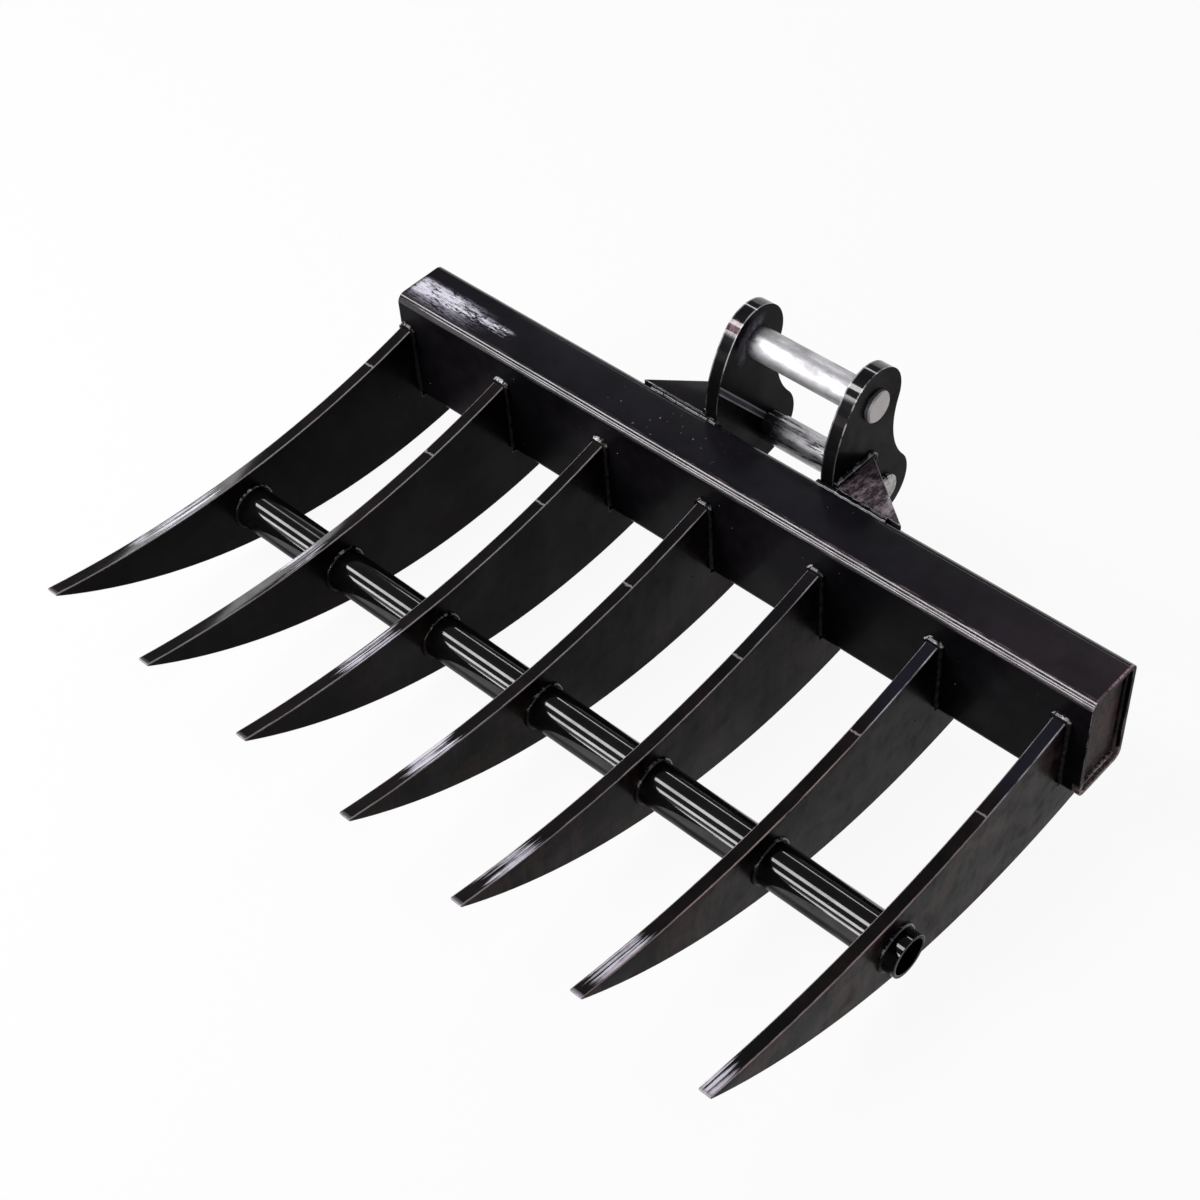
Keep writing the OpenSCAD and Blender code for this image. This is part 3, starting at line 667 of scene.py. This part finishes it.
def makeKeeperBolt(which):
    low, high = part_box(which + "_pin_bolt")
    middleY, middleZ = (low.y + high.y) / 2, (low.z + high.z) / 2
    count, sixth = boltSizes["turn"], math.pi / 6
    angles = [2 * math.pi * i / count for i in range(count)]
    flat = boltSizes["headRadius"] * math.cos(sixth)
    hexRadii = [flat / math.cos((a + sixth) % (2 * sixth) - sixth) for a in angles]
    shank, chamfer = boltSizes["shankRadius"], boltSizes["chamferRadius"]
    top, seat = low.x, low.x + boltSizes["headHeight"] * mm
    turned = [top + max(0.0, r - chamfer) * boltSizes["chamferSlope"] * mm
              + boltSizes["chamferStep"] * mm for r in hexRadii]
    shape = bmesh.new()

    def ring(x, radius):
        places = x if isinstance(x, list) else [x] * count
        radii = radius if isinstance(radius, list) else [radius] * count
        return [shape.verts.new((x, middleY + r * mm * math.cos(a), middleZ + r * mm * math.sin(a)))
                for x, r, a in zip(places, radii, angles)]

    rings = [ring(top, chamfer - boltSizes["topRounding"]), ring(top, chamfer),
             ring(turned, hexRadii), ring(seat, hexRadii), ring(seat, shank),
             ring(high.x - boltSizes["tip"] * mm, shank), ring(high.x, shank - boltSizes["tip"])]
    for a, b in zip(rings, rings[1:]):
        for i in range(count):
            shape.faces.new((a[i], a[(i + 1) % count], b[(i + 1) % count], b[i]))
    shape.faces.new(rings[0])
    shape.faces.new(list(reversed(rings[-1])))
    bmesh.ops.recalc_face_normals(shape, faces=shape.faces)
    piece = fromShape(which + "_keeper_bolt", shape, looks["zincPlate"])
    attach(piece, which + "_pin_set")
    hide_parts(which + "_pin_bolt")


for which in pinWear:
    makeKeeperBolt(which)
print("keeper bolts made")


# Geometry Nodes helpers
def geoTree(name, ins):
    tree = bpy.data.node_groups.new(name, "GeometryNodeTree")
    sockets = tree.interface
    sockets.new_socket("Geometry", in_out="INPUT", socket_type="NodeSocketGeometry")
    for label, (kind, value) in {**ins, "Material": ("Material", None)}.items():
        socket = sockets.new_socket(label, in_out="INPUT", socket_type="NodeSocket" + kind)
        if value is not None:
            socket.default_value = value
    sockets.new_socket("Geometry", in_out="OUTPUT", socket_type="NodeSocketGeometry")
    return tree, tree.nodes.new("NodeGroupInput").outputs, tree.nodes.new("NodeGroupOutput")


def closeTree(tree, given, end, solid):
    for kind, values in (("GeometryNodeRealizeInstances", {}), ("GeometryNodeSetShadeSmooth", {}),
                         ("GeometryNodeSetMaterial", {"Material": given["Material"]})):
        solid = addNode(tree, kind, {"Geometry": solid, **values}).outputs["Geometry"]
    feed(tree, end, {"Geometry": solid})
    return tree


def seededNoise(tree, scale, detail, seed):
    return addNode(tree, "ShaderNodeTexNoise", {"Scale": scale, "Detail": detail, "W": seed},
                   noise_dimensions="4D").outputs["Fac"]


# A bead along a path: ripples laid one on the other, slow lumps and fine grit
beadShape = {"stepLength": 0.001, "sides": 12, "rippleBend": 1.8, "gritHeight": 0.0012}


def makeBeadTree():
    tree, given, end = geoTree("weldBead", {
        "Radius": ("Float", 0.006), "Ripple Pitch": ("Float", 0.0032),
        "Ripple Depth": ("Float", 0.10), "Lumps": ("Float", 0.22), "Seed": ("Float", 3.0)})
    path = addNode(tree, "GeometryNodeMeshToCurve", {"Mesh": given["Geometry"]}).outputs["Curve"]
    path = addNode(tree, "GeometryNodeResampleCurve", {
        "Curve": path, "Length": beadShape["stepLength"]}, mode="LENGTH").outputs["Curve"]
    along = addNode(tree, "GeometryNodeSplineParameter").outputs["Length"]
    wave = maths(tree, "FRACT", maths(tree, "DIVIDE", along, given["Ripple Pitch"]))
    crest = maths(tree, "POWER", wave, beadShape["rippleBend"])
    lumps = less(tree, seededNoise(tree, 90.0, 1.0, given["Seed"]), 0.5)
    size = plus(tree, 1.0, times(tree, crest, given["Ripple Depth"]),
                times(tree, lumps, given["Lumps"]))
    path = addNode(tree, "GeometryNodeSetCurveRadius", {"Curve": path, "Radius": size}).outputs[0]
    ring = addNode(tree, "GeometryNodeCurvePrimitiveCircle", {
        "Resolution": beadShape["sides"], "Radius": given["Radius"]}, mode="RADIUS").outputs[0]
    solid = addNode(tree, "GeometryNodeCurveToMesh", {"Curve": path, "Profile Curve": ring,
                                                      "Fill Caps": True}).outputs["Mesh"]
    gritAndGlints = less(tree, seededNoise(tree, 420.0, 2.0, given["Seed"]), 0.5)
    push = addNode(tree, "ShaderNodeVectorMath", {
        0: addNode(tree, "GeometryNodeInputNormal").outputs["Normal"],
        "Scale": times(tree, gritAndGlints, beadShape["gritHeight"])}, operation="SCALE").outputs[0]
    solid = addNode(tree, "GeometryNodeSetPosition", {"Geometry": solid, "Offset": push}).outputs[0]
    return closeTree(tree, given, end, solid)


def makeSpatterTree():
    tree, given, end = geoTree("weldSpatter", {
        "Drops Per Square Metre": ("Float", 2500.0), "Smallest": ("Float", 0.0004),
        "Largest": ("Float", 0.0014), "Seed": ("Int", 5)})
    spread = addNode(tree, "GeometryNodeDistributePointsOnFaces", {
        "Mesh": given["Geometry"], "Density": given["Drops Per Square Metre"],
        "Seed": given["Seed"]}).outputs
    drop = addNode(tree, "GeometryNodeMeshIcoSphere", {"Radius": 1.0,
                                                       "Subdivisions": 2}).outputs["Mesh"]
    share = addNode(tree, "FunctionNodeRandomValue", {"Seed": given["Seed"]},
                    data_type="FLOAT").outputs[1]
    span = less(tree, given["Largest"], given["Smallest"])
    size = plus(tree, given["Smallest"], times(tree, maths(tree, "POWER", share, 3.0), span))
    squashed = addNode(tree, "ShaderNodeCombineXYZ", {
        "X": size, "Y": size, "Z": times(tree, size, 0.75)}).outputs["Vector"]
    placed = addNode(tree, "GeometryNodeInstanceOnPoints", {
        "Points": spread["Points"], "Instance": drop, "Rotation": spread["Rotation"],
        "Scale": squashed}).outputs["Instances"]
    return closeTree(tree, given, end, placed)


beadTree, spatterTree = makeBeadTree(), makeSpatterTree()


def runTree(name, tree, points, edges, faces, values, body, nodes, look="weldPaint"):
    mesh = bpy.data.meshes.new(name)
    mesh.from_pydata([tuple(p) for p in points], edges, faces)
    piece = link(bpy.data.objects.new(name, mesh))
    modifier = piece.modifiers.new(name, "NODES")
    modifier.node_group = tree
    sockets = {item.name: item.identifier for item in tree.interface.items_tree
               if item.in_out == "INPUT"}
    for key, value in {**values, "Material": looks[look]}.items():
        modifier[sockets[key]] = value
    settle(piece, name, body, nodes)
    print(name, len(piece.data.polygons), "faces")


def layBeads(name, paths, radius, values, body, nodes, look="weldPaint"):
    points, edges = [], []
    for path, closed in paths:
        first = len(points)
        points += path
        edges += [(first + i, first + i + 1) for i in range(len(path) - 1)]
        if closed:
            edges.append((len(points) - 1, first))
    runTree(name, beadTree, points, edges, [], {"Radius": radius * mm, **values}, body, nodes, look)


beadSizes = {"rootRadius": 4.5, "rootLift": 0.9, "ringRadius": 3.0, "ringLift": 0.8,
             "seamRadius": 5.4, "seamSink": (4.2, 3.6), "seamShare": 0.82, "capRadius": 2.9,
             "capLift": 1.2, "capCorner": 4.0, "flagRadius": 3.2, "flagLift": 1.0, "footGap": 2,
             "rootCorner": (4, 5), "heel": (12, 36), "toeStart": 1, "toeCorner": (3, 4),
             "toeOut": 2, "seed": 11}
handRng = random.Random(beadSizes["seed"])


# A welder's hand isn't steady: a path wanders a little between its corners
def wander(corners, amount=0.5, step=6.0):
    path = []
    for a, b in zip(corners, corners[1:]):
        a, b = Vector(a), Vector(b)
        count = max(1, int((b - a).length / step))
        for i in range(count):
            point = a.lerp(b, i / count)
            if path:
                point += Vector([handRng.uniform(-amount, amount) for _ in range(3)])
            path.append(point)
    path.append(Vector(corners[-1]))
    return [spot(*p) for p in path]


def openBead(*corners):
    return wander(corners), False


def ringPath(x, y, z, radius, turn=0.0, count=48):
    return [spot(x, y + radius * math.cos(turn + 2 * math.pi * i / count),
                 z + radius * math.sin(turn + 2 * math.pi * i / count)) for i in range(count)]


# Beads round the tine roots and under their heels
lift = beadSizes["rootLift"]
half = tines["thickness"] / 2 + lift
lowZ = beam["edgeRadius"] - beam["height"]
foot = lowZ + beadSizes["footGap"]
cut, drop = beadSizes["rootCorner"]
rootPaths = []
for i in range(1, tines["count"] + 1):
    x, top = tineX(i), tines["rootZ"] + lift
    rootPaths.append(openBead((x - half, -lift, foot), (x - half, -lift, top - drop),
                              (x - half + cut, -lift, top), (x + half - cut, -lift, top),
                              (x + half, -lift, top - drop), (x + half, -lift, foot)))
    for side in (-1, 1):
        rootPaths.append(openBead(*[(x + side * half, y, -beam["height"] - lift)
                                    for y in beadSizes["heel"]]))
layBeads("tine_root_beads", rootPaths, beadSizes["rootRadius"], {"Seed": 2.0, "Lumps": 0.5},
         "rake", ["tine_root_welds"])

# Ring beads where the cross tube passes the tines
ringPaths = []
for i in range(1, tines["count"] + 1):
    for side in (-1, 1):
        x = tineX(i) + side * (tines["thickness"] / 2 + beadSizes["ringLift"])
        ringPaths.append((ringPath(x, tube["y"], tube["z"], tube["radius"] + beadSizes["ringLift"],
                                   handRng.uniform(0, 6)), True))
layBeads("tube_ring_beads", ringPaths, beadSizes["ringRadius"],
         {"Seed": 4.0, "Ripple Pitch": 0.0036, "Lumps": 0.5}, "rake", ["cross_tube_welds"])

# Beads of the hitch: ear feet, ear toes and gusset seams
hitchPaths, seamPaths = [], []
back, top = beam["depth"], hitch["gussetTop"]
under, tip = top - hitch["gussetThickness"], back + hitch["gussetLength"]
toeIn, toeDown = beadSizes["toeCorner"]
sinkY, sinkZ = beadSizes["seamSink"]
for side in (-1, 1):
    outer = hitch["middleX"] + side * hitch["outerX"]
    inner = hitch["middleX"] + side * hitch["innerX"]
    outside, inside = outer + side * lift, inner - side * lift
    hitchPaths += [
        openBead((outside, back + lift, foot),
                 (outside, back + lift, under - beadSizes["footGap"])),
        openBead((inside, back + lift, foot), (inside, back + lift, -beam["edgeRadius"])),
        openBead((outside, back + beadSizes["toeStart"], top + lift),
                 (outside, tip - toeIn, top + lift),
                 (outside, tip + beadSizes["toeOut"], top - toeDown),
                 (outside, tip, under + beadSizes["toeStart"]))]
    seamEnd = outer + side * hitch["gussetWidth"] * beadSizes["seamShare"]
    seamPaths.append(openBead((inner - side * beadSizes["toeOut"], back - sinkY, -sinkZ),
                              (seamEnd, back - sinkY, -sinkZ)))
layBeads("hitch_beads", hitchPaths, beadSizes["rootRadius"], {"Seed": 6.0, "Ripple Depth": 0.16},
         "rake", ["hitch_welds"])
layBeads("hitch_seam_beads", seamPaths, beadSizes["seamRadius"],
         {"Seed": 7.0, "Ripple Depth": 0.16, "Lumps": 0.4}, "rake", ["hitch_welds"], "seamPaint")

# Beads round the end plates, inside the ends of the beam
capPaths = []
corner = beadSizes["capCorner"]
halfDepth, halfHeight = (beam[size] / 2 - beam["wall"] - beadSizes["capLift"]
                         for size in ("depth", "height"))
for side in (-1, 1):
    x = side * (beam["length"] / 2 - beam["capInset"] + beadSizes["capLift"])
    loop = []
    for cy, cz, startTurn in ((1, 1, 0), (-1, 1, 90), (-1, -1, 180), (1, -1, 270)):
        for stepTurn in (0, 30, 60, 90):
            turn = math.radians(startTurn + stepTurn)
            y = back / 2 + cy * (halfDepth - corner) + corner * math.cos(turn)
            z = -beam["height"] / 2 + cz * (halfHeight - corner) + corner * math.sin(turn)
            loop.append((x, y, z))
    capPaths.append((wander(loop + loop[:1], 0.3)[:-1], True))
layBeads("end_plate_beads", capPaths, beadSizes["capRadius"],
         {"Seed": 8.0, "Ripple Pitch": 0.0026}, "rake", ["end_cap_welds"])

# Ring beads between pins and flags
for which in pinWear:
    y, z = hitch[which + "Pin"]
    x = hitch["middleX"] - hitch["outerX"] - hitch["flagThickness"] - beadSizes["flagLift"]
    layBeads(which + "_flag_bead",
             [(ringPath(x, y, z, hitch["pinRadius"] + beadSizes["flagLift"]), True)],
             beadSizes["flagRadius"], {"Seed": 9.0}, which + "_pin_set", [which + "_flag_weld"])
print("weld beads laid")

# Spatter sits on the plates beside the beads, on patches whose front looks outwards: on the
# beam's front between the tines, on the tines' sides, on the beam's top and on the ears
spatterPlaces = {"fromTine": (14, 42), "endMargin": 4, "frontTop": -25, "sideY": (-50, -10),
                 "sideTop": (-68, -60), "fromEar": (-30, 60), "topY": (42, 66),
                 "earLowY": (84, 140), "earHighY": (90, 130), "earZ": (12, 30)}
spatterPoints, spatterFaces = [], []


def addPatch(side, *corners):
    first = len(spatterPoints)
    spatterPoints.extend(spot(*c) for c in (corners if side > 0 else corners[::-1]))
    spatterFaces.append(tuple(range(first, first + 4)))


frontTop, (sideY1, sideY2) = spatterPlaces["frontTop"], spatterPlaces["sideY"]
sideTop1, sideTop2 = spatterPlaces["sideTop"]
for i in range(1, tines["count"] + 1):
    for side in (-1, 1):
        close, far = (tineX(i) + side * away for away in spatterPlaces["fromTine"])
        if abs(far) > beam["length"] / 2 - spatterPlaces["endMargin"]:
            continue
        addPatch(side, (close, 0, lowZ), (far, 0, lowZ), (far, 0, frontTop), (close, 0, frontTop))
        face = tineX(i) + side * tines["thickness"] / 2
        addPatch(side, (face, sideY1, lowZ), (face, sideY2, lowZ), (face, sideY2, sideTop2),
                 (face, sideY1, sideTop1))
(topY1, topY2), (earZ1, earZ2) = spatterPlaces["topY"], spatterPlaces["earZ"]
(lowY1, lowY2), (highY1, highY2) = spatterPlaces["earLowY"], spatterPlaces["earHighY"]
for side in (-1, 1):
    outer = hitch["middleX"] + side * hitch["outerX"]
    close, far = (outer + side * away for away in spatterPlaces["fromEar"])
    addPatch(side, (close, topY1, 0), (far, topY1, 0), (far, topY2, 0), (close, topY2, 0))
    addPatch(side, (outer, lowY1, earZ1), (outer, lowY2, earZ1), (outer, highY2, earZ2),
             (outer, highY1, earZ2))
runTree("weld_spatter", spatterTree, spatterPoints, [], spatterFaces,
        {"Drops Per Square Metre": 900.0, "Seed": 5}, "rake", [])
print("spatter thrown")


# Studio: a pale floor that curves up all round, and long soft lamps
studio = {"floorColor": (0.86, 0.86, 0.86), "floorRadius": 4.2, "rimRadius": 1.6, "rimHeight": 2.6,
          "rimSteps": 8, "sides": 96, "whiteShare": 0.93, "worldLevel": 0.12,
          "worldColor": (0.95, 0.92, 1.0)}
# Each lamp's middle, its length along X and width, and its level. It points at the X axis.
lamps = {
    "lampNear": {"at": (-1.33, -0.84, 2.50), "size": (2.26, 0.60), "level": 10.0},
    "lampFar": {"at": (-1.65, -2.53, 2.00), "size": (2.46, 0.60), "level": 11.0},
    "lampLow": {"at": (-1.45, -2.90, 0.76), "size": (2.1, 0.50), "level": 10.0},
    "lampBack": {"at": (-1.30, 2.16, 2.50), "size": (2.2, 0.22), "level": 8.0},
    "lampCorner": {"at": (-2.58, 1.22, 2.50), "size": (0.60, 0.40), "level": 3.0},
}


def makeBackdrop():
    count, rimSteps, rim = studio["sides"], studio["rimSteps"], studio["rimRadius"]
    profile = [(studio["floorRadius"], 0.0)]
    for k in range(1, rimSteps + 1):
        turn = math.pi / 2 * k / rimSteps
        profile.append((studio["floorRadius"] + rim * math.sin(turn), rim * (1 - math.cos(turn))))
    profile.append((studio["floorRadius"] + rim, studio["rimHeight"]))
    shape = bmesh.new()
    centre = shape.verts.new((0, 0, 0))
    turns = [2 * math.pi * i / count for i in range(count)]
    rings = [[shape.verts.new((r * math.cos(a), r * math.sin(a), z)) for a in turns]
             for r, z in profile]
    for i in range(count):
        shape.faces.new((centre, rings[0][i], rings[0][(i + 1) % count]))
        for a, b in zip(rings, rings[1:]):
            shape.faces.new((a[i], b[i], b[(i + 1) % count], a[(i + 1) % count]))
    for face in shape.faces:
        face.smooth = True
    material, tree, shader, _ = newMaterial("paleFloor")
    feed(tree, shader, {"Base Color": studio["floorColor"], "Roughness": 0.9,
                        "Specular IOR Level": 0.1})
    rays = addNode(tree, "ShaderNodeLightPath").outputs
    seen = largest(tree, *[rays[f"Is {kind} Ray"] for kind in ("Camera", "Glossy", "Transmission")])
    glow = addNode(tree, "ShaderNodeEmission", {"Color": (1, 1, 1), "Strength": 1.0}).outputs[0]
    both = addNode(tree, "ShaderNodeMixShader", {0: times(tree, seen, studio["whiteShare"]),
                                                 1: shader.outputs[0], 2: glow}).outputs[0]
    feed(tree, tree.nodes["Material Output"], {"Surface": both})
    floor = fromShape("studioFloor", shape, material)


def addLamp(name, at, size, level):
    lamp = bpy.data.lights.new(name, "AREA")
    lamp.shape = "RECTANGLE"
    lamp.size, lamp.size_y = size
    lamp.energy = level * size[0] * size[1] * math.pi
    holder = link(bpy.data.objects.new(name, lamp))
    holder.matrix_world = (Matrix.Translation(at)
                           @ Matrix.Rotation(-math.atan2(at[1], at[2]), 4, "X"))
    holder.visible_camera = False


makeBackdrop()
for name, lamp in lamps.items():
    addLamp(name, **lamp)
world = bpy.data.worlds.new("dimRoom")
world.use_nodes = True
feed(world.node_tree, world.node_tree.nodes["Background"], {
    "Color": studio["worldColor"], "Strength": studio["worldLevel"]})
bpy.context.scene.world = world

# Camera, solved from the photograph
view = {"place": (1.16944, -1.20725, 1.92211), "turnDeg": (43.5182, 1.7833, 42.6441),
        "lens": 66.066, "sensor": 36.0, "shift": (0.00346, 0.00184)}
camera = bpy.data.cameras.new("photoView")
camera.lens, camera.sensor_width = view["lens"], view["sensor"]
camera.shift_x, camera.shift_y = view["shift"]
cameraHolder = link(bpy.data.objects.new("photoView", camera))
cameraHolder.location = view["place"]
cameraHolder.rotation_euler = [math.radians(v) for v in view["turnDeg"]]
bpy.context.scene.camera = cameraHolder
bpy.context.scene.view_settings.view_transform = "Standard"
